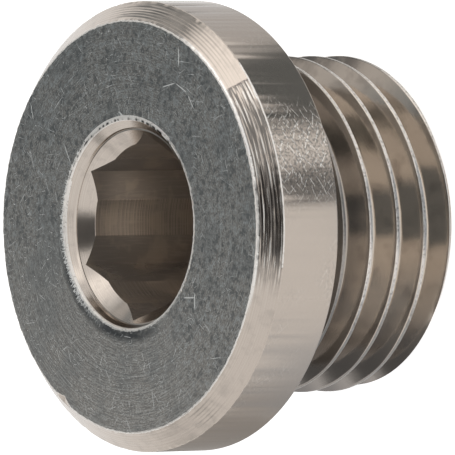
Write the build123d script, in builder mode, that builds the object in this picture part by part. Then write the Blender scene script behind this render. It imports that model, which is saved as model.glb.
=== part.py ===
"""Hex socket screw plug: round flanged head, hex socket and G 1/4 parallel pipe thread.

Millimetres, +Z up. The origin is the centre of the thread's end face, so the plug
stands on that face with its head up.
"""

import os
from math import radians, tan

from build123d import *

# Driving dimensions
head_diameter = 17.5
head_height = 3.5
head_chamfer = 0.76
head_back_break = 0.12
thread_length = 8.0
thread_diameter = 13.157
thread_pitch = 1.337
thread_depth = 0.856
thread_angle = 55.0
thread_crest_width = 0.16
thread_start = -1.0  # height of the groove's centre where it crosses the +X side, below the end face
end_chamfer = 0.8
neck_diameter = 11.3
neck_length = 1.25
neck_shoulder_angle = 60.0
socket_across_flats = 6.35
socket_depth = 6.0
bore_diameter = 6.5
bore_depth = 6.4
drill_point_angle = 118.0
mouth_diameter = 8.15
mouth_step_diameter = 7.7
mouth_step_depth = 0.31
mouth_cone_angle = 90.0

# How far each cutting shape runs past the surface that it cuts
overcut = 0.3

# Radii and heights worked out from the dimensions above
total_height = thread_length + head_height
head_radius = head_diameter / 2
thread_radius = thread_diameter / 2
neck_radius = neck_diameter / 2
bore_radius = bore_diameter / 2
mouth_step_radius = mouth_step_diameter / 2
neck_bottom = thread_length - neck_length
neck_shoulder_slope = tan(radians(90 - neck_shoulder_angle))
drill_point_depth = bore_radius / tan(radians(drill_point_angle / 2))
mouth_cone_depth = (mouth_step_radius - bore_radius) / tan(radians(mouth_cone_angle / 2))

# The groove's section: it leaves a narrow flat crest between its turns, and its flanks are
# carried on past the crest. It ends in the neck, just short of the head.
flank_slope = tan(radians(thread_angle / 2))
groove_root_half = (thread_pitch - thread_crest_width) / 2 - thread_depth * flank_slope
groove_top_half = groove_root_half + (thread_depth + overcut) * flank_slope
groove_end_clearance = 0.05
groove_end = thread_length - groove_top_half - groove_end_clearance

with BuildPart() as plug_body:
    # Plain rod, longer than the thread at both ends
    with BuildSketch(Plane.XY.offset(2 * thread_start)):
        Circle(thread_radius)
    extrude(amount=thread_length - 3 * thread_start)

    # Helical thread groove, from below the end face up into the neck
    with BuildLine(Plane.XY.offset(thread_start)):
        groove_path = Helix(pitch=thread_pitch, height=groove_end - thread_start, radius=thread_radius)
    with BuildSketch(Plane.XZ):
        with BuildLine():
            Polyline(
                (thread_radius - thread_depth, thread_start - groove_root_half),
                (thread_radius + overcut, thread_start - groove_top_half),
                (thread_radius + overcut, thread_start + groove_top_half),
                (thread_radius - thread_depth, thread_start + groove_root_half),
                close=True,
            )
        make_face()
    sweep(path=groove_path, is_frenet=True, mode=Mode.SUBTRACT)

    # Turned outline that the threaded rod is trimmed to: end chamfer, and the neck with its shoulder
    with BuildSketch(Plane.XZ):
        with BuildLine():
            Polyline(
                (0, 0),
                (thread_radius - end_chamfer, 0),
                (thread_radius + overcut, end_chamfer + overcut),
                (
                    thread_radius + overcut,
                    neck_bottom - (thread_radius + overcut - neck_radius) * neck_shoulder_slope,
                ),
                (neck_radius, neck_bottom),
                (neck_radius, thread_length),
                (0, thread_length),
                close=True,
            )
        make_face()
    revolve(axis=Axis.Z, mode=Mode.INTERSECT)

    # Head
    with BuildSketch(Plane.XZ):
        with BuildLine():
            Polyline(
                (0, thread_length),
                (head_radius - head_back_break, thread_length),
                (head_radius, thread_length + head_back_break),
                (head_radius, total_height - head_chamfer),
                (head_radius - head_chamfer, total_height),
                (0, total_height),
                close=True,
            )
        make_face()
    revolve(axis=Axis.Z)

    # Round bore with its drill point, opened at the top by the two-stage mouth
    with BuildSketch(Plane.XZ):
        with BuildLine():
            Polyline(
                (0, total_height),
                (mouth_diameter / 2, total_height),
                (mouth_step_radius, total_height - mouth_step_depth),
                (bore_radius, total_height - mouth_step_depth - mouth_cone_depth),
                (bore_radius, total_height - bore_depth),
                (0, total_height - bore_depth - drill_point_depth),
                close=True,
            )
        make_face()
    revolve(axis=Axis.Z, mode=Mode.SUBTRACT)

    # Hex broached down the bore: the bore is a little wider than the hex is across its flats,
    # so each flat is broken by a strip of the round wall
    with BuildSketch(Plane.XY.offset(total_height)):
        RegularPolygon(radius=socket_across_flats / 2, side_count=6, major_radius=False)
    extrude(amount=-socket_depth, mode=Mode.SUBTRACT)

plug_body.part.label = "plug_body"

os.makedirs("parts", exist_ok=True)
export_step(plug_body.part, "parts/plug_body.step")
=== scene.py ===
from math import atan2, cos, pi, radians, sin, tan

import bmesh
import bpy
from mathutils import Matrix, Vector, noise


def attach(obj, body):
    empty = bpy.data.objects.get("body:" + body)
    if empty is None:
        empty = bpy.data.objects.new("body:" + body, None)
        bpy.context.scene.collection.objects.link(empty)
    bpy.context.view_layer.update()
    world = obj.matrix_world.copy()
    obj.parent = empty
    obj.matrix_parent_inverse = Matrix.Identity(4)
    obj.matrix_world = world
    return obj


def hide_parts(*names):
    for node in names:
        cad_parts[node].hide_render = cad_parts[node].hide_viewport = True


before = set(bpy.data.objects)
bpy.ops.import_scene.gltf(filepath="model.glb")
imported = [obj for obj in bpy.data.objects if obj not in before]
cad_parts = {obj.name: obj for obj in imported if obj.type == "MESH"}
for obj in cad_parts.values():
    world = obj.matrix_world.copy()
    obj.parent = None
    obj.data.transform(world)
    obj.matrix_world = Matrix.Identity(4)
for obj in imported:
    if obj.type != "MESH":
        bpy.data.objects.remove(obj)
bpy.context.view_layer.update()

# Turned blank: the screw plug starts as a length of brass bar, turned in one setting to the head,
# the neck under it and the thread's outside diameter, then bored and countersunk for the socket.
# The form tool leaves a few shallow rings on the bevel, and small burrs stand on the edges.
mm = 0.001
total_height = 11.5 * mm
head_height = 3.5 * mm
head_base = total_height - head_height
head_radius = 8.75 * mm
head_bevel = 0.76 * mm
head_back_break = 0.12 * mm
thread_radius = 6.5785 * mm
end_bevel = 0.8 * mm
neck_radius = 5.65 * mm
neck_length = 1.25 * mm
shoulder_length = (thread_radius - neck_radius) * tan(radians(30))
mouth_radius = 4.075 * mm
mouth_step_radius = 3.85 * mm
mouth_step_depth = 0.31 * mm
mouth_line_width = 0.09 * mm
mouth_line_depth = 0.05 * mm
bore_radius = 3.25 * mm
bore_depth = 6.4 * mm
drill_point = bore_radius / tan(radians(59))
edge_round = 0.035 * mm
line_round = edge_round / 5
burr_round = 0.06 * mm
mouth_round = 0.1 * mm
nearly_straight = radians(89)
side_margin = 0.25
flat_margin = 0.25 * mm
ring_margin = 0.3
bevel_rings = 6
bevel_ring_depth = 0.0075 * mm
first_ring = 0.12
rings_stretch = 0.76
sectors = 15
sector_steps = 40
merge_distance = 0.001 * mm


def rounded(corner, before, after, radius, steps=2):
    """Points on the small arc in place of an outline's sharp corner, with one more on each side."""
    corner, before, after = Vector(corner), Vector(before), Vector(after)
    to_before = (before - corner).normalized()
    to_after = (after - corner).normalized()
    half_angle = to_before.angle(to_after) / 2
    if half_angle > nearly_straight:
        return [tuple(corner)]
    start = corner + to_before * radius / tan(half_angle)
    end = corner + to_after * radius / tan(half_angle)
    centre = corner + (to_before + to_after).normalized() * radius / sin(half_angle)
    arc = [tuple(start + to_before * radius * side_margin)]
    for step in range(steps + 1):
        chord = start.lerp(end, step / steps) - centre
        arc.append(tuple(centre + chord.normalized() * radius))
    arc.append(tuple(end + to_after * radius * side_margin))
    return arc


def turned_bevel(low, high):
    """Points up the bevel of the head, with the shallow rings that the tool leaves, no two as deep."""
    low, high = Vector(low), Vector(high)
    inward = Vector((-1, -1)).normalized() * bevel_ring_depth
    run = []
    for ring in range(bevel_rings):
        bite = 0.35 + 0.65 * abs(sin(2.1 * ring))
        for share, depth in ((0.12, 0), (0.35 + 0.1 * bite, 1), (0.62, 0.8), (0.88, 0)):
            along = first_ring + rings_stretch * (ring + share) / bevel_rings
            run.append(tuple(low.lerp(high, along) + inward * depth * bite))
    return run


bevel_low = (head_radius, total_height - head_bevel)
bevel_high = (head_radius - head_bevel, total_height)
mouth_edge = (mouth_radius, total_height)
mouth_step = (mouth_step_radius, total_height - mouth_step_depth)
outline = [
    (0, 0),
    (thread_radius - end_bevel, 0),
    (thread_radius, end_bevel),
    (thread_radius, head_base - neck_length - shoulder_length),
    (neck_radius, head_base - neck_length),
    (neck_radius, head_base),
    (head_radius - head_back_break, head_base),
    (head_radius, head_base + head_back_break),
    bevel_low,
    bevel_high,
    (bevel_high[0] - flat_margin, total_height),
    (mouth_radius + flat_margin, total_height),
    mouth_edge,
    tuple(Vector(mouth_edge).lerp(Vector(mouth_step), ring_margin)),
    mouth_step,
    (mouth_step_radius - mouth_line_width / 2,
     total_height - mouth_step_depth - mouth_line_width / 2 - mouth_line_depth),
    (mouth_step_radius - mouth_line_width, total_height - mouth_step_depth - mouth_line_width),
    (bore_radius, total_height - mouth_step_depth - mouth_step_radius + bore_radius),
    (bore_radius, total_height - bore_depth),
    (0, total_height - bore_depth - drill_point),
]
mouth_line_end = mouth_step_radius - 1.5 * mouth_line_width
worn_corners = {bevel_low: burr_round, bevel_high: burr_round, mouth_edge: mouth_round}
profile = [outline[0]]
for before, corner, after in zip(outline, outline[1:], outline[2:]):
    in_mouth_line = mouth_line_end < corner[0] <= mouth_step_radius
    corner_round = line_round if in_mouth_line else worn_corners.get(corner, edge_round)
    profile += rounded(corner, before, after, corner_round)
    if corner == bevel_low:
        profile += turned_bevel(bevel_low, bevel_high)
profile.append(outline[-1])

blank = bmesh.new()
corners = [blank.verts.new((radius, 0, height)) for radius, height in profile]
for first, second in zip(corners, corners[1:]):
    blank.edges.new((first, second))
sector = 2 * pi / sectors
bmesh.ops.spin(blank, geom=blank.verts[:] + blank.edges[:], cent=(0, 0, 0), axis=(0, 0, 1), dvec=(0, 0, 0),
               angle=sector, steps=sector_steps)
bmesh.ops.spin(blank, geom=blank.verts[:] + blank.edges[:] + blank.faces[:], cent=(0, 0, 0), axis=(0, 0, 1),
               dvec=(0, 0, 0), angle=sector * (sectors - 1), steps=sectors - 1, use_duplicate=True)
bmesh.ops.remove_doubles(blank, verts=blank.verts[:], dist=merge_distance)

# Hand of the machinist: the mouth was opened a little off centre, the edges carry small burrs,
# and one knock has pushed in the edge of the face.
mouth_shift = Vector((0.12, 0.014, 0)) * mm
face_skin = 0.035 * mm
rim_skin = 0.03 * mm
mouth_reach = 0.07 * mm
edge_reach = 0.05 * mm
burr_grain = 0.16 * mm
mouth_burr = 0.03 * mm
bevel_burr = 0.03 * mm
knock_angle = radians(154)
knock_width = radians(4)
knock_depth = 0.2 * mm


def turned_from(spot, angle):
    """Angle about +Z from that direction to a spot, at most half a turn either way."""
    return (atan2(spot.y, spot.x) - angle + pi) % (2 * pi) - pi


for vert in blank.verts:
    radius = vert.co.xy.length
    depth = total_height - vert.co.z
    outward = Vector((vert.co.x, vert.co.y, 0)).normalized()
    ragged = noise.noise(vert.co / burr_grain) + 0.6 * noise.noise(vert.co / burr_grain * 2.7)
    if radius < mouth_radius + mouth_reach and depth < mouth_step_depth:
        vert.co += mouth_shift * (1 - depth / mouth_step_depth)
    if depth < face_skin and abs(radius - mouth_radius) < mouth_reach:
        vert.co += (outward * ragged + Vector((0, 0, max(ragged, 0)))) * mouth_burr
    elif depth < face_skin and abs(radius - bevel_high[0]) < edge_reach:
        knock = max(0, 1 - abs(turned_from(vert.co, knock_angle)) / knock_width) * knock_depth
        vert.co += outward * (ragged * bevel_burr - knock)
    elif abs(radius - head_radius) < rim_skin and abs(vert.co.z - bevel_low[1]) < edge_reach:
        vert.co -= outward * max(ragged, 0) * bevel_burr
bmesh.ops.recalc_face_normals(blank, faces=blank.faces[:])


def solid(name, shape):
    """Turns a finished bmesh into an object of the scene."""
    mesh = bpy.data.meshes.new(name)
    shape.to_mesh(mesh)
    shape.free()
    piece = bpy.data.objects.new(name, mesh)
    bpy.context.scene.collection.objects.link(piece)
    return piece


plug = solid("screw_plug", blank)

# Thread groove: what the single-point tool clears, a 55 degree section with a rounded root and
# shoulders that round off the crest, wound right-handed from below the end face up into the neck.
pitch = 1.337 * mm
thread_depth = 0.856 * mm
crest_width = 0.15 * mm
thread_start = -1.0 * mm
flank_slope = tan(radians(27.5))
root_round = 0.12 * mm
crest_round = 0.06 * mm
skim = 0.003 * mm
overcut = 0.15 * mm
top_gap = 0.05 * mm
crest_half = (pitch - crest_width) / 2
root_half = crest_half - thread_depth * flank_slope
groove_turns = 7
groove_top = head_base - crest_half - top_gap
first_turn = (groove_top - thread_start) / pitch - groove_turns
turn_steps = 200
weld_distance = 0.0005 * mm
chatter_size = 0.5 * mm
fine_chatter_size = 0.15 * mm
chatter_depth = 0.005 * mm

root_low = (thread_radius - thread_depth, -root_half)
root_high = (thread_radius - thread_depth, root_half)
shoulder_low = (thread_radius + skim, -crest_half)
shoulder_high = (thread_radius + skim, crest_half)
section = [(thread_radius + overcut, -pitch / 2 + skim)]
section += rounded(shoulder_low, (thread_radius + skim, -pitch), root_low, crest_round)
section += rounded(root_low, shoulder_low, root_high, root_round, 3)
section += rounded(root_high, root_low, shoulder_high, root_round, 3)
section += rounded(shoulder_high, root_high, (thread_radius + skim, pitch), crest_round)
section.append((thread_radius + overcut, pitch / 2 - skim))
groove = bmesh.new()
loop = [groove.verts.new((radius, 0, thread_start + height)) for radius, height in section]
for first, second in zip(loop, loop[1:] + loop[:1]):
    groove.edges.new((first, second))
start = Matrix.Translation((0, 0, pitch * first_turn)) @ Matrix.Rotation(2 * pi * first_turn, 4, "Z")
bmesh.ops.transform(groove, matrix=start, verts=groove.verts[:])
bmesh.ops.spin(groove, geom=groove.verts[:] + groove.edges[:], cent=(0, 0, 0), axis=(0, 0, 1),
               dvec=(0, 0, pitch / turn_steps), angle=2 * pi, steps=turn_steps)
one_turn = groove.verts[:] + groove.edges[:] + groove.faces[:]
bmesh.ops.spin(groove, geom=one_turn, cent=(0, 0, 0), axis=(0, 0, 1), dvec=(0, 0, pitch),
               angle=2 * pi * (groove_turns - 1), steps=groove_turns - 1, use_duplicate=True)
bmesh.ops.remove_doubles(groove, verts=groove.verts[:], dist=weld_distance)
bmesh.ops.holes_fill(groove, edges=[edge for edge in groove.edges if edge.is_boundary])
for vert in groove.verts:
    outward = Vector((vert.co.x, vert.co.y, 0)).normalized()
    chatter = noise.noise(vert.co / chatter_size) + 0.5 * noise.noise(vert.co / fine_chatter_size)
    vert.co += (Vector((0, 0, chatter)) - outward * chatter) * chatter_depth
bmesh.ops.recalc_face_normals(groove, faces=groove.faces[:])
thread_tool = solid("thread_tool", groove)

# Hex socket: broached down the bore, with one corner towards +X. The bore is a little wider than
# the hex is across its flats, so each flat is broken by a strip of the round wall.
socket_across_flats = 6.35 * mm
socket_depth = 6.0 * mm
clearance = 1.0 * mm
corner_radius = socket_across_flats / 2 / cos(pi / 6)
sharp_angle = radians(24)

hexagon = bmesh.new()
bmesh.ops.create_cone(hexagon, cap_ends=True, segments=6, radius1=corner_radius, radius2=corner_radius,
                      depth=socket_depth + clearance)
middle = Matrix.Translation((0, 0, total_height + (clearance - socket_depth) / 2))
bmesh.ops.transform(hexagon, matrix=middle @ Matrix.Rotation(pi / 6, 4, "Z"), verts=hexagon.verts[:])
broach = solid("broach", hexagon)

for tool in (thread_tool, broach):
    cut = plug.modifiers.new(tool.name, "BOOLEAN")
    cut.operation = "DIFFERENCE"
    cut.solver = "MANIFOLD"
    cut.object = tool
bpy.context.view_layer.update()
machined = bpy.data.meshes.new_from_object(plug.evaluated_get(bpy.context.evaluated_depsgraph_get()))
plug.modifiers.clear()
machined.shade_smooth()
machined.set_sharp_from_angle(angle=sharp_angle)
plug.data = machined
bpy.data.objects.remove(thread_tool)
bpy.data.objects.remove(broach)
plug.data.materials.clear()


# Finish of the whole plug: bare nickel over brass, and what the tools left on each surface. Every
# surface has its own tool marks, and short pale scratches from the parts bin.
class Finish:
    """A metal surface whose colour, roughness and bump are built up mark by mark."""

    def __init__(self, name, color, roughness, metallic=1.0):
        self.surface = bpy.data.materials.new(name)
        self.surface.use_nodes = True
        self.nodes, self.links = self.surface.node_tree.nodes, self.surface.node_tree.links
        self.shader = self.nodes["Principled BSDF"]
        self.place = self.nodes.new("ShaderNodeTexCoord").outputs["Object"]
        self.color = color
        self.roughness = roughness
        self.metallic = metallic
        self.normal = None

    def feed(self, node, sources):
        """Gives a node its inputs in order, each a value or a link, and returns its output."""
        for socket, source in zip(node.inputs, sources):
            if isinstance(source, (int, float, tuple)):
                socket.default_value = source
            else:
                self.links.new(source, socket)
        return node.outputs[0]

    def math(self, operation, first, second=0.0, third=0.0, clamp=False):
        node = self.nodes.new("ShaderNodeMath")
        node.operation = operation
        node.use_clamp = clamp
        return self.feed(node, (first, second, third))

    def times(self, first, second):
        return self.math("MULTIPLY", first, second)

    def vector_math(self, operation, first, second):
        node = self.nodes.new("ShaderNodeVectorMath")
        node.operation = operation
        return self.feed(node, (first, second))

    def join(self, x, y):
        """A flat pattern's coordinates, made of two values."""
        return self.feed(self.nodes.new("ShaderNodeCombineXYZ"), (x, y))

    def split(self, vector):
        node = self.nodes.new("ShaderNodeSeparateXYZ")
        self.links.new(vector, node.inputs[0])
        return node.outputs

    def height(self):
        return self.split(self.place)[2]

    def radius(self, centre=(0, 0, 0)):
        """Distance from the axis, or from a line beside it."""
        x, y, _ = self.split(self.vector_math("SUBTRACT", self.place, centre))
        return self.math("SQRT", self.math("ADD", self.times(x, x), self.times(y, y)))

    def angle(self):
        """Angle about +Z, from +X."""
        x, y, _ = self.split(self.place)
        return self.math("ARCTAN2", y, x)

    def near_angle(self, middle, full, none):
        """Mask that is 1 within an angle about +Z of that direction and fades out to 0 (degrees)."""
        away = self.math("SUBTRACT", self.angle(), radians(middle))
        away = self.math("ABSOLUTE", self.math("WRAP", away, pi, -pi))
        return self.ramp(away, radians(full), radians(none), 1, 0)

    def noise(self, size, detail=2.0, vector=None):
        """Noise of that grain in space, or on a flat pattern."""
        node = self.nodes.new("ShaderNodeTexNoise")
        node.inputs["Scale"].default_value = 1 / size
        node.inputs["Detail"].default_value = detail
        self.links.new(vector or self.place, node.inputs["Vector"])
        return node.outputs[0]

    def tool_lines(self, size, detail, value):
        """Noise that changes only with one value, as a tool's lines do with the height or the radius."""
        node = self.nodes.new("ShaderNodeTexNoise")
        node.noise_dimensions = "1D"
        node.inputs["Scale"].default_value = 1 / size
        node.inputs["Detail"].default_value = detail
        self.links.new(value, node.inputs["W"])
        return node.outputs[0]

    def ramp(self, value, low, high, to_low=0.0, to_high=1.0):
        """Smooth step of a value between two levels."""
        node = self.nodes.new("ShaderNodeMapRange")
        node.interpolation_type = "SMOOTHSTEP"
        self.links.new(value, node.inputs["Value"])
        node.inputs["From Min"].default_value = low
        node.inputs["From Max"].default_value = high
        node.inputs["To Min"].default_value = to_low
        node.inputs["To Max"].default_value = to_high
        return node.outputs[0]

    def scratches(self, vector, cell, length, width, share, seed, tilt=0.0, spread=pi):
        """Mask of straight scratches, one to a cell in that share of the cells, each at its own angle."""
        shifted = self.vector_math("ADD", vector, (seed, seed * 1.7, 0))
        cells = self.nodes.new("ShaderNodeTexVoronoi")
        cells.voronoi_dimensions = "2D"
        cells.inputs["Scale"].default_value = 1 / cell
        self.links.new(shifted, cells.inputs["Vector"])
        offset = self.vector_math("SUBTRACT", shifted, cells.outputs["Position"])
        dx, dy, _ = self.split(offset)
        chance = self.nodes.new("ShaderNodeSeparateColor")
        self.links.new(cells.outputs["Color"], chance.inputs[0])
        angle = self.math("MULTIPLY_ADD", chance.outputs[0], spread, tilt)
        cosine, sine = self.math("COSINE", angle), self.math("SINE", angle)
        along = self.math("ADD", self.times(dx, cosine), self.times(dy, sine))
        across = self.math("SUBTRACT", self.times(dy, cosine), self.times(dx, sine))
        across = self.math("ABSOLUTE", across)
        reach = self.math("MULTIPLY_ADD", chance.outputs[1], length / 2, length / 6)
        inside = self.math("DIVIDE", self.math("ABSOLUTE", along), reach)
        line = self.ramp(across, width * 0.35, width * 0.75, 1, 0)
        ends = self.ramp(inside, 0.6, 1.0, 1, 0)
        picked = self.math("LESS_THAN", chance.outputs[2], share)
        return self.times(self.times(line, ends), picked)

    def scored(self, start, end, width):
        """Mask of one scratch between two points of the surface seen from above, thinning to its ends."""
        middle, run = (Vector(start) + Vector(end)) / 2, Vector(end) - Vector(start)
        way = run.normalized()
        dx, dy, _ = self.split(self.vector_math("SUBTRACT", self.place, (*middle, 0)))
        along = self.math("ADD", self.times(dx, way.x), self.times(dy, way.y))
        across = self.math("SUBTRACT", self.times(dy, way.x), self.times(dx, way.y))
        ends = self.ramp(self.math("ABSOLUTE", along), run.length * 0.25, run.length * 0.5, 1, 0)
        line = self.ramp(self.math("ABSOLUTE", across), width * 0.35, width * 0.8, 1, 0)
        return self.times(line, ends)

    def tint(self, mask, color):
        """Blends the colour towards another where the mask is 1."""
        node = self.nodes.new("ShaderNodeMix")
        node.data_type = "RGBA"
        self.links.new(mask, node.inputs["Factor"])
        if isinstance(self.color, tuple):
            node.inputs["A"].default_value = (*self.color, 1)
        else:
            self.links.new(self.color, node.inputs["A"])
        node.inputs["B"].default_value = (*color, 1)
        self.color = node.outputs["Result"]

    def roughen(self, mask, amount):
        self.roughness = self.math("MULTIPLY_ADD", mask, amount, self.roughness, clamp=True)

    def dull(self, mask, amount):
        """Less metallic where the mask is 1, so that the spot looks pale whatever it faces."""
        self.metallic = self.math("MULTIPLY_ADD", mask, -amount, self.metallic)

    def bump(self, height, depth):
        node = self.nodes.new("ShaderNodeBump")
        node.inputs["Distance"].default_value = depth
        self.links.new(height, node.inputs["Height"])
        if self.normal is not None:
            self.links.new(self.normal, node.inputs["Normal"])
        self.normal = node.outputs[0]

    def done(self):
        """Joins all that was built up to the shader and adds the finish to the plug."""
        self.links.new(self.color, self.shader.inputs["Base Color"])
        for socket, amount in (("Roughness", self.roughness), ("Metallic", self.metallic)):
            if isinstance(amount, float):
                self.shader.inputs[socket].default_value = amount
            else:
                self.links.new(amount, self.shader.inputs[socket])
        if self.normal is not None:
            self.links.new(self.normal, self.shader.inputs["Normal"])
        self.index = len(plug.data.materials)
        plug.data.materials.append(self.surface)


# Face of the head: faced on the lathe, so that fine rings run round it, and knocked grey by the other
# parts in the bin, except on one side where the turning still shows. A pale lip stands at the mouth.
nickel = (0.50, 0.437, 0.382)
bright_cut = (0.90, 0.88, 0.84)
swirl_radius = 3.2 * mm
clean_side = 162
dark_lip_side = 160
hairy_lip_side = 70
lip_raggedness = 0.16 * mm
lip_full = mouth_radius + 0.015 * mm
lip_gone = mouth_radius + 0.045 * mm
face_scratches = (
    # cell, length and width in mm, share of the cells, seed
    (0.2, 0.22, 0.011, 0.5, 23),
    (0.5, 0.5, 0.016, 0.5, 31),
    (1.4, 0.9, 0.022, 0.45, 57),
)
single_cuts = (
    # start, end and width in mm
    ((7.29, -2.50), (6.41, -2.60), 0.05),
    ((5.58, -1.57), (5.85, -2.48), 0.035),
    ((5.85, -2.40), (5.51, -3.27), 0.035),
    ((5.51, -3.20), (4.90, -3.72), 0.03),
    ((-2.36, -3.63), (-2.27, -4.44), 0.04),
    ((-2.04, -4.35), (-2.81, -4.44), 0.05),
    ((4.42, 1.06), (4.10, 0.46), 0.06),
    ((2.86, 4.40), (1.99, 3.79), 0.03),
    ((4.23, 6.63), (3.45, 6.35), 0.03),
)
face = Finish("faced_head", nickel, 0.24)
swirl = face.times(face.angle(), swirl_radius)
rings = face.tool_lines(0.08 * mm, 3, face.radius())
grain = face.noise(0.05 * mm, 3, face.join(swirl, face.radius()))
clouds = face.noise(1.4 * mm, 3)
clumps = face.noise(0.2 * mm, 3)
face.tint(face.ramp(rings, 0.48, 0.62, 0, 0.4), (0.74, 0.70, 0.64))
face.tint(face.ramp(rings, 0.5, 0.38, 0, 0.35), (0.30, 0.29, 0.27))
face.tint(face.ramp(grain, 0.5, 0.64, 0, 0.55), (0.82, 0.80, 0.75))
face.tint(face.ramp(grain, 0.48, 0.36, 0, 0.6), (0.20, 0.20, 0.195))
face.tint(face.ramp(clouds, 0.45, 0.65, 0, 0.4), (0.32, 0.32, 0.31))
clean = face.near_angle(clean_side, 36, 72)
knocked = face.math("SUBTRACT", 1.0, face.times(clean, 0.8))
face.tint(face.times(knocked, face.ramp(clumps, 0.52, 0.68, 0, 0.5)), (0.70, 0.69, 0.66))
face.tint(face.times(knocked, face.ramp(clumps, 0.47, 0.36, 0, 0.65)), (0.2, 0.2, 0.195))
lathe_lines = face.noise(0.048 * mm, 3, face.join(face.times(swirl, 0.18), face.radius()))
face.tint(face.times(clean, face.ramp(lathe_lines, 0.5, 0.62, 0, 0.4)), (0.72, 0.69, 0.64))
face.tint(face.times(clean, face.ramp(lathe_lines, 0.49, 0.38, 0, 0.45)), (0.24, 0.235, 0.225))
dark_lip = face.ramp(face.radius(), 4.25 * mm, 4.6 * mm, 1, 0)
dark_lip = face.times(face.near_angle(dark_lip_side, 34, 60), dark_lip)
face.tint(face.times(dark_lip, face.ramp(clumps, 0.35, 0.55, 0.6, 0.95)), (0.1, 0.1, 0.1))
from_mouth = face.radius(tuple(mouth_shift))
pale_lip = face.math("MULTIPLY_ADD", face.noise(0.12 * mm, 3), -lip_raggedness, from_mouth)
pale_lip = face.ramp(pale_lip, lip_full, lip_gone, 0.85, 0)
face.tint(pale_lip, (0.84, 0.79, 0.73))
face.dull(pale_lip, 0.5)
combed = face.join(face.times(face.angle(), 4.1 * mm), face.times(face.radius(), 0.25))
thinning = face.ramp(face.radius(), 4.16 * mm, 4.42 * mm, 0.46, 0.72)
hairs = face.math("GREATER_THAN", face.noise(0.05 * mm, 2, combed), thinning)
hairs = face.times(hairs, face.near_angle(hairy_lip_side, 60, 100))
face.tint(hairs, bright_cut)
face.dull(hairs, 0.4)
face.bump(rings, 0.0025 * mm)
face.bump(grain, 0.0018 * mm)
crowded = face.ramp(face.noise(1.1 * mm, 2), 0.4, 0.6, 0.25, 1)
for cell, length, width, share, seed in face_scratches:
    marks = face.scratches(face.place, cell * mm, length * mm, width * mm, share, seed * mm)
    marks = face.times(marks, crowded)
    face.tint(marks, bright_cut)
    face.dull(marks, 0.3)
for start, end, width in single_cuts:
    cut_mark = face.scored(Vector(start) * mm, Vector(end) * mm, width * mm)
    face.tint(cut_mark, bright_cut)
    face.dull(cut_mark, 0.4)
face.done()

# Bevel of the head: cut by the edge of a tool, whose fine rings run round it. Over one stretch, which
# starts sharply and dies away, the tool tore the metal into dark stripes and left a pale lip on top.
torn_start = -43
torn_full = torn_start - 0.6
torn_line = -43.4
torn_fading = -90
torn_end = -103
pale_lip_side = -62
streaked_side = 2
matt_side = -138
bevel_wrap = 0.3 * mm
bevel = Finish("turned_bevel", nickel, 0.15)
lines = bevel.tool_lines(0.035 * mm, 2, bevel.height())
bevel.tint(bevel.ramp(lines, 0.4, 0.7, 0, 0.3), (0.62, 0.56, 0.50))
bevel.bump(lines, 0.0012 * mm)
bevel.tint(bevel.ramp(bevel.noise(0.5 * mm, 4), 0.45, 0.75, 0, 0.6), (0.38, 0.34, 0.30))
torn = bevel.times(bevel.ramp(bevel.angle(), radians(torn_start), radians(torn_full)),
                   bevel.ramp(bevel.angle(), radians(torn_end), radians(torn_fading)))
along = bevel.times(bevel.angle(), bevel_wrap)
torn_lines = bevel.noise(0.055 * mm, 3, bevel.join(along, bevel.height()))
fine_lines = bevel.noise(0.04 * mm, 2, bevel.join(bevel.times(along, 2.0), bevel.height()))
stripes = bevel.times(torn, bevel.ramp(torn_lines, 0.46, 0.53, 0, 0.9))
bevel.tint(stripes, (0.13, 0.12, 0.11))
bevel.tint(bevel.times(torn, bevel.ramp(fine_lines, 0.5, 0.6, 0, 0.5)), (0.25, 0.23, 0.21))
shines = bevel.times(torn, bevel.ramp(torn_lines, 0.42, 0.37, 0, 0.7))
bevel.tint(shines, bright_cut)
bevel.dull(shines, 0.35)
streaks = bevel.times(bevel.near_angle(streaked_side, 6, 16), bevel.ramp(torn_lines, 0.5, 0.58, 0, 0.6))
bevel.tint(streaks, (0.15, 0.14, 0.13))
first_tear = bevel.times(bevel.near_angle(torn_line, 0.1, 0.5),
                         bevel.ramp(bevel.noise(0.06 * mm, 2), 0.4, 0.5))
bevel.tint(first_tear, (0.16, 0.14, 0.13))
top_lip = bevel.ramp(bevel.height(), total_height - 0.1 * mm, total_height - 0.05 * mm)
top_lip = bevel.times(top_lip, bevel.ramp(bevel.noise(0.1 * mm, 3), 0.3, 0.42))
top_lip = bevel.times(top_lip, bevel.near_angle(pale_lip_side, 34, 50))
bevel.tint(top_lip, (0.93, 0.90, 0.86))
bevel.dull(top_lip, 0.5)
bevel.roughen(bevel.near_angle(matt_side, 24, 50), 0.05)
bevel.bump(bevel.noise(0.25 * mm, 3), 0.0015 * mm)
bevel.done()

# Rim of the head: turned smooth, and scuffed against other parts. One patch is worn bright and pitted,
# the rest has a thin scatter of the same short strokes, and one side is a little more matt.
worn_side = -64
rim_scratches = (
    # cell, length and width in mm, share of the cells, seed, lean and its spread in radians
    (0.12, 0.16, 0.012, 0.15, 5, -0.8, 1.2),
    (0.2, 0.36, 0.014, 0.3, 17, -0.8, 0.5),
    (0.32, 0.75, 0.02, 0.5, 41, 0.3, 0.5),
    (0.5, 1.1, 0.024, 0.6, 29, -0.9, 0.6),
)
rim = Finish("turned_rim", nickel, 0.17)
rim_flat = rim.join(rim.times(rim.angle(), head_radius), rim.height())
worn = rim.math("MAXIMUM", rim.near_angle(worn_side, 5, 18),
                rim.ramp(rim.noise(2.2 * mm, 2), 0.5, 0.7, 0.03, 0.2))
for cell, length, width, share, seed, lean, spread in rim_scratches:
    marks = rim.scratches(rim_flat, cell * mm, length * mm, width * mm, share, seed * mm, lean, spread)
    marks = rim.times(marks, worn)
    rim.tint(marks, bright_cut)
    rim.dull(marks, 0.1)
    rim.bump(marks, -0.002 * mm)
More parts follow.
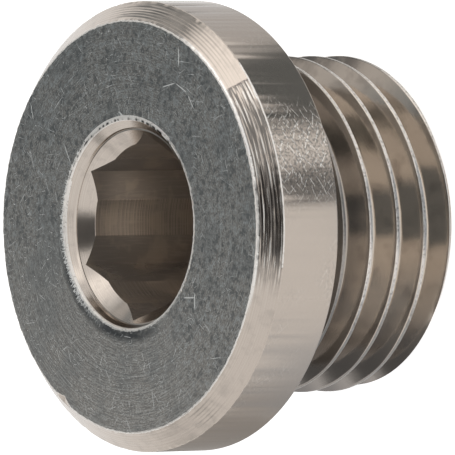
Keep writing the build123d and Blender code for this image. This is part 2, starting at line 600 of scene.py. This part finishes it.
pits = rim.ramp(rim.noise(0.12 * mm, 4, rim_flat), 0.48, 0.58)
rim.tint(rim.times(pits, rim.times(worn, 0.7)), (0.2, 0.19, 0.175))
rim.roughen(worn, 0.03)
rim.roughen(rim.near_angle(matt_side, 30, 52), 0.12)
rim.bump(rim.noise(0.6 * mm, 3), 0.0015 * mm)
rim.done()

# Thread, neck and end face: cut with one point, so the flanks are smooth and mirror well. They have
# brown stains, and painted shade darkens them on some sides and up under the head.
# Sides and heights where painted shade darkens the thread and its crests.
painted_shade_side = 4
painted_far_shade_side = -170
painted_dark_side = 180
head_shade_start = 4.7 * mm
head_shade_full = 5.1 * mm
thread = Finish("cut_thread", (0.555, 0.49, 0.425), 0.13)
stain = thread.noise(0.8 * mm, 4)
thread.tint(thread.ramp(stain, 0.5, 0.7, 0, 0.5), (0.36, 0.31, 0.27))
# Painted shade: the thread is darker on one side, mottled by the stain noise.
painted_side_shade = thread.times(thread.near_angle(painted_shade_side, 6, 20), thread.ramp(stain, 0.35, 0.6, 0.35, 0.95))
thread.tint(painted_side_shade, (0.22, 0.195, 0.175))
# Painted shade on the far side of the thread.
thread.tint(thread.near_angle(painted_far_shade_side, 24, 52), (0.33, 0.30, 0.275))
# Painted shade on one side of the thread.
thread.tint(thread.near_angle(painted_dark_side, 8, 22), (0.19, 0.175, 0.165))
# Painted shade up under the head.
thread.tint(thread.ramp(thread.height(), head_shade_start, head_shade_full, 0, 0.55), (0.25, 0.225, 0.205))
thread.bump(thread.tool_lines(0.05 * mm, 2, thread.radius()), 0.0006 * mm)
thread.bump(thread.noise(0.25 * mm, 3), 0.0015 * mm)
thread.done()

# Walls of the socket: broached, so the flats have faint lines along the plug's axis, and the strips
# of bore left between them keep the drill's rings. The nickel is thin in here, so the brass warms it.
bore_edge = bore_radius + 0.002 * mm
flat_edge = bore_radius + 0.008 * mm
socket = Finish("broached_socket", (0.47, 0.41, 0.355), 0.19, 0.7)
drill_rings = socket.tool_lines(0.05 * mm, 4, socket.height())
in_bore = socket.ramp(socket.radius(), bore_edge, flat_edge, 1, 0)
broach_way = socket.join(socket.times(socket.angle(), bore_radius), socket.times(socket.height(), 0.06))
broach_lines = socket.noise(0.07 * mm, 3, broach_way)
pale_rings = socket.times(in_bore, socket.ramp(drill_rings, 0.45, 0.62, 0, 0.6))
dark_rings = socket.times(in_bore, socket.ramp(drill_rings, 0.5, 0.38, 0, 0.5))
socket.tint(socket.math("SUBTRACT", 1.0, in_bore), (0.41, 0.365, 0.325))
socket.tint(pale_rings, (0.66, 0.57, 0.48))
socket.tint(dark_rings, (0.30, 0.26, 0.22))
socket.tint(socket.ramp(broach_lines, 0.5, 0.65, 0, 0.3), (0.60, 0.53, 0.46))
socket.tint(socket.ramp(socket.noise(0.9 * mm, 3), 0.52, 0.66, 0, 0.5), (0.62, 0.53, 0.43))
socket.bump(socket.times(in_bore, drill_rings), 0.002 * mm)
socket.bump(broach_lines, 0.0015 * mm)
socket.done()

# Mouth of the socket: a steep ring and a cone, turned with a countersink that leaves fine rings.
# The nickel lies on it a little uneven.
mouth = Finish("countersunk_mouth", (0.52, 0.46, 0.405), 0.16)
turned_lines = mouth.tool_lines(0.03 * mm, 2, mouth.radius())
mouth.tint(mouth.ramp(turned_lines, 0.45, 0.65, 0, 0.35), (0.62, 0.56, 0.50))
mouth.tint(mouth.ramp(mouth.noise(0.4 * mm, 3), 0.5, 0.7, 0, 0.4), (0.40, 0.36, 0.32))
mouth.bump(turned_lines, 0.0006 * mm)
mouth.bump(mouth.noise(0.3 * mm, 3), 0.002 * mm)
mouth.done()

# Crests of the thread: the narrow flats that rub on everything the plug touches, so they are rougher
# than the flanks and mottled dark with dirt. A painted highlight with painted glints makes them pale on
# one side, and painted shade darkens them on another side and close to the neck.
# Side of the crests' painted highlight.
crest_highlight_side = -66
crest = Finish("crest_wear_and_painted_light", (0.42, 0.385, 0.35), 0.3, 0.8)
# Painted highlight: the crests are paler on one side.
crest.tint(crest.near_angle(crest_highlight_side, 28, 58), (0.80, 0.75, 0.70))
# Painted shade on the same side of the crests.
crest.tint(crest.near_angle(painted_dark_side, 8, 26), (0.24, 0.22, 0.2))
# Painted glints, on the same side.
painted_glints = crest.times(crest.ramp(crest.noise(0.12 * mm, 2), 0.5, 0.62),
                           crest.near_angle(crest_highlight_side, 36, 66))
crest.tint(painted_glints, (0.86, 0.82, 0.77))
crest.tint(crest.ramp(crest.noise(0.09 * mm, 3), 0.48, 0.36, 0, 0.75), (0.30, 0.27, 0.24))
# Painted shade close to the neck, under the head.
crest.tint(crest.ramp(crest.height(), 5.3 * mm, 5.5 * mm, 0, 0.75), (0.22, 0.20, 0.18))
crest.bump(crest.noise(0.1 * mm, 2), 0.002 * mm)
crest.done()

# Burrs: the thin turned-over edges of metal at the mouth and at both edges of the bevel. Their finish
# is a painted glint, pale with small dark gaps. The one on the bevel's lower edge runs over a short stretch
# only.
# Painted glint: pale burrs with small dark gaps.
burr_glint = Finish("painted_burr_glint", (0.86, 0.82, 0.77), 0.4, 0.55)
dark_gaps = burr_glint.ramp(burr_glint.noise(0.11 * mm, 2), 0.58, 0.68, 0, 0.5)
burr_glint.tint(dark_gaps, (0.42, 0.38, 0.34))
burr_glint.done()
on_axis = Vector((0, 0, 0))
# Middle of the short stretch where the painted glint on the bevel's lower edge shows.
glint_middle = radians(-66)
edges_with_burrs = (
    # centre, radius and height of the edge, width and depth of the burr, angle that it reaches
    (mouth_shift, mouth_radius, total_height, 0.0688 * mm, 0.08 * mm, pi),
    (on_axis, bevel_high[0], bevel_high[1], 0.072 * mm, 0.045 * mm, pi),
    (on_axis, bevel_low[0], bevel_low[1], 0.048 * mm, 0.03 * mm, radians(28)),
)

# Which finish goes where: each polygon of the plug takes the finish of the surface that it lies on,
# told from its height, its distance from the axis and the way it faces.
crest_skin = 0.012 * mm
mouth_margin = 0.2 * mm
wall_lean = 0.3
mouth_bottom = total_height - 1.5 * mm
flat_enough = 0.9999


def on_burr(spot):
    for centre, edge_radius, edge_height, width, depth, reach in edges_with_burrs:
        edge_gap = (spot - centre).xy.length - edge_radius
        beside = abs(edge_gap) < width and abs(spot.z - edge_height) < depth
        if beside and abs(turned_from(spot, glint_middle)) <= reach:
            return True
    return False


def finish_at(spot, normal):
    """The finish of the plug's surface at a spot, from where it lies and how it faces."""
    radius = spot.xy.length
    if on_burr(spot):
        return burr_glint
    if spot.z < head_base + 0.001 * mm:
        if radius > thread_radius - crest_skin and spot.z > end_bevel:
            return crest
        return thread if radius > corner_radius + 0.05 * mm or spot.z < 1 * mm else socket
    if radius < corner_radius + 0.01 * mm and (abs(normal.z) < wall_lean or spot.z < mouth_bottom):
        return socket
    if radius < mouth_radius + mouth_margin and spot.z < total_height - 0.003 * mm:
        return mouth
    if spot.z > total_height - 0.012 * mm:
        return face
    if spot.z > total_height - head_bevel - 0.01 * mm:
        return bevel
    return rim


for polygon in plug.data.polygons:
    polygon.material_index = finish_at(polygon.center, polygon.normal).index
    polygon.use_smooth = abs(polygon.normal.z) < flat_enough

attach(plug, "root")
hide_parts("plug_body")

# Camera: a long lens held well away, so that the plug is seen almost without perspective. It is
# rolled by a quarter turn, which lays the plug's axis level, and aimed between the head and the thread.
image_width = 455
lens_pixels = 12908
camera_distance = 500 * mm
view_elevation = 38.35
view_azimuth = -83.3
view_roll = -90.93
aim_right = -0.4398 * head_radius
aim_down = -0.0029 * head_radius
camera_data = bpy.data.cameras.new("camera")
camera_data.sensor_width = 36
camera_data.lens = lens_pixels / image_width * camera_data.sensor_width
camera_data.clip_start = 0.01
camera_data.clip_end = 10
camera = bpy.data.objects.new("camera", camera_data)
bpy.context.scene.collection.objects.link(camera)
turn = (Matrix.Rotation(radians(view_azimuth + 90), 4, "Z")
        @ Matrix.Rotation(radians(90 - view_elevation), 4, "X")
        @ Matrix.Rotation(radians(view_roll), 4, "Z"))
face_centre = Vector((0, 0, total_height))
offset = turn.to_3x3() @ Vector((-aim_right, aim_down, camera_distance))
camera.matrix_world = Matrix.Translation(face_centre + offset) @ turn
bpy.context.scene.camera = camera

# Floor: a white sheet under the end face, large enough to fill every view. It glows for the camera
# and in the metal, so that it looks white without more light on the plug.
floor_reach = 1.5
mirrored_glow = 0.45
seen_glow = 0.35


def light_path(nodes, links):
    """A factor for what the camera sees, and one for that and what the metal mirrors."""
    path = nodes.new("ShaderNodeLightPath")
    either = nodes.new("ShaderNodeMath")
    either.operation = "ADD"
    links.new(path.outputs["Is Camera Ray"], either.inputs[0])
    links.new(path.outputs["Is Glossy Ray"], either.inputs[1])
    return path.outputs["Is Camera Ray"], either.outputs[0]


floor_shape = bmesh.new()
bmesh.ops.create_grid(floor_shape, x_segments=1, y_segments=1, size=floor_reach)
floor = solid("floor", floor_shape)
white = bpy.data.materials.new("white_sheet")
white.use_nodes = True
nodes, links = white.node_tree.nodes, white.node_tree.links
sheet = nodes["Principled BSDF"]
sheet.inputs["Base Color"].default_value = (0.8, 0.8, 0.8, 1)
sheet.inputs["Roughness"].default_value = 0.9
sheet.inputs["Specular IOR Level"].default_value = 0
sheet.inputs["Emission Color"].default_value = (1, 1, 1, 1)
seen, shown = light_path(nodes, links)
mirrored = nodes.new("ShaderNodeMath")
mirrored.operation = "MULTIPLY"
mirrored.inputs[1].default_value = mirrored_glow
links.new(shown, mirrored.inputs[0])
glowing = nodes.new("ShaderNodeMath")
glowing.operation = "MULTIPLY_ADD"
glowing.inputs[1].default_value = seen_glow
links.new(seen, glowing.inputs[0])
links.new(mirrored.outputs[0], glowing.inputs[2])
links.new(glowing.outputs[0], sheet.inputs["Emission Strength"])
floor.data.materials.append(white)

# Light: a pale room, and cards round the plug and on the floor that only the metal mirrors. The fill
# and the lamp's diffuser are bright, and the grey and black ones give the metal its contrast.
room_light = 0.75
room_white = 1.0
cards_face = Vector((0, 0, 8 * mm))
world = bpy.data.worlds.new("pale_room")
world.use_nodes = True
nodes, links = world.node_tree.nodes, world.node_tree.links
nodes["Background"].inputs["Color"].default_value = (1, 1, 1, 1)
_, shown = light_path(nodes, links)
strength = nodes.new("ShaderNodeMapRange")
strength.inputs["To Min"].default_value = room_light
strength.inputs["To Max"].default_value = room_white
links.new(shown, strength.inputs["Value"])
links.new(strength.outputs[0], nodes["Background"].inputs["Strength"])
bpy.context.scene.world = world


def heading(azimuth):
    """Angle about +Z of a direction given from the camera's side, positive towards the view's bottom."""
    return radians(view_azimuth - azimuth)


def card(name, place, size, glow, soft):
    """A flat card seen only in the metal, whose brightness fades out over its margin."""
    width, height = size
    shape = bmesh.new()
    bmesh.ops.create_grid(shape, x_segments=1, y_segments=1, size=0.5)
    bmesh.ops.scale(shape, verts=shape.verts[:], vec=(width, height, 1))
    panel = solid(name, shape)
    panel.matrix_world = place
    panel.visible_camera = False
    panel.visible_diffuse = False
    panel.visible_shadow = False
    paper = bpy.data.materials.new(name)
    paper.use_nodes = True
    nodes, links = paper.node_tree.nodes, paper.node_tree.links
    nodes.clear()
    spot = nodes.new("ShaderNodeTexCoord")
    split = nodes.new("ShaderNodeSeparateXYZ")
    links.new(spot.outputs["Object"], split.inputs[0])
    both = nodes.new("ShaderNodeMath")
    both.operation = "MULTIPLY"
    for slot, (axis, length, margin) in enumerate((("X", width, soft[0]), ("Y", height, soft[1]))):
        away = nodes.new("ShaderNodeMath")
        away.operation = "ABSOLUTE"
        links.new(split.outputs[axis], away.inputs[0])
        fade = nodes.new("ShaderNodeMapRange")
        fade.interpolation_type = "SMOOTHSTEP"
        fade.inputs["From Min"].default_value = length / 2
        fade.inputs["From Max"].default_value = length / 2 - margin
        links.new(away.outputs[0], fade.inputs["Value"])
        links.new(fade.outputs[0], both.inputs[slot])
    clear = nodes.new("ShaderNodeBsdfTransparent")
    light = nodes.new("ShaderNodeEmission")
    light.inputs["Color"].default_value = (*glow, 1)
    mix = nodes.new("ShaderNodeMixShader")
    out = nodes.new("ShaderNodeOutputMaterial")
    links.new(both.outputs[0], mix.inputs[0])
    links.new(clear.outputs[0], mix.inputs[1])
    links.new(light.outputs[0], mix.inputs[2])
    links.new(mix.outputs[0], out.inputs[0])
    panel.data.materials.append(paper)


def hung_card(name, azimuth, elevation, distance, size, glow, soft):
    """A card hung round the plug in that direction, facing it."""
    level, rise = heading(azimuth), radians(elevation)
    direction = Vector((cos(level) * cos(rise), sin(level) * cos(rise), sin(rise)))
    facing = (-direction).to_track_quat("Z", "Y").to_matrix().to_4x4()
    card(name, Matrix.Translation(cards_face + direction * distance) @ facing, size, glow, soft)


def laid_card(name, out, down, size, glow, soft, turn=0.0, lift=0.02 * mm):
    """A card laid on the floor: out towards the camera's side, down towards the view's bottom."""
    spot = Matrix.Translation((out, -down, lift)) @ Matrix.Rotation(turn, 4, "Z")
    card(name, Matrix.Rotation(heading(0), 4, "Z") @ spot, size, glow, soft)


hung_card("back_card", -150, 38, 60 * mm, (155 * mm, 100 * mm), (0.225, 0.255, 0.275), (60 * mm, 25 * mm))
hung_card("side_card", 132, 43, 150 * mm, (150 * mm, 104 * mm), (0.17, 0.17, 0.17), (30 * mm, 20 * mm))
hung_card("high_card", -130, 38, 48 * mm, (32 * mm, 44 * mm), (0.62, 0.61, 0.60), (8 * mm, 8 * mm))
hung_card("post_card", -113, 20, 150 * mm, (11 * mm, 50 * mm), (0.12, 0.12, 0.12), (4 * mm, 10 * mm))
hung_card("front_card", -5, 53, 140 * mm, (104 * mm, 70 * mm), (0.10, 0.10, 0.10), (28 * mm, 16 * mm))
hung_card("upper_card", -60, 66, 145 * mm, (150 * mm, 66 * mm), (0.12, 0.12, 0.12), (22 * mm, 10 * mm))
hung_card("fill_card", -44, 15, 150 * mm, (112 * mm, 34 * mm), (1.6, 1.58, 1.56), (30 * mm, 12 * mm))
hung_card("end_card", 120, 12, 150 * mm, (70 * mm, 40 * mm), (0.74, 0.74, 0.74), (25 * mm, 14 * mm))
hung_card("lamp_card", -90, 30, 160 * mm, (150 * mm, 116 * mm), (1.65, 1.63, 1.61), (35 * mm, 26 * mm))
laid_card("floor_card_dark", 9.9 * mm, -16.7 * mm, (17.5 * mm, 10 * mm), (0.16, 0.175, 0.18),
          (4.5 * mm, 2 * mm), turn=radians(-27))
laid_card("floor_card_front", 20 * mm, -5.6 * mm, (8 * mm, 7.4 * mm), (0.2, 0.21, 0.22), (2 * mm, 2 * mm))
laid_card("floor_card_near", 12.2 * mm, -1.3 * mm, (11.5 * mm, 7.6 * mm), (0.27, 0.31, 0.35),
          (1.2 * mm, 1 * mm))
laid_card("floor_card_side", 6.5 * mm, 12.5 * mm, (14 * mm, 18 * mm), (0.42, 0.48, 0.56), (3 * mm, 5 * mm))
laid_card("floor_card_top", -4.5 * mm, -17.5 * mm, (27 * mm, 14 * mm), (0.68, 0.68, 0.68), (5 * mm, 4 * mm),
          lift=0.01 * mm)
laid_card("floor_card_low", -6 * mm, 18 * mm, (34 * mm, 24 * mm), (0.38, 0.37, 0.36), (10 * mm, 8 * mm))

bpy.context.scene.view_settings.view_transform = "Standard"
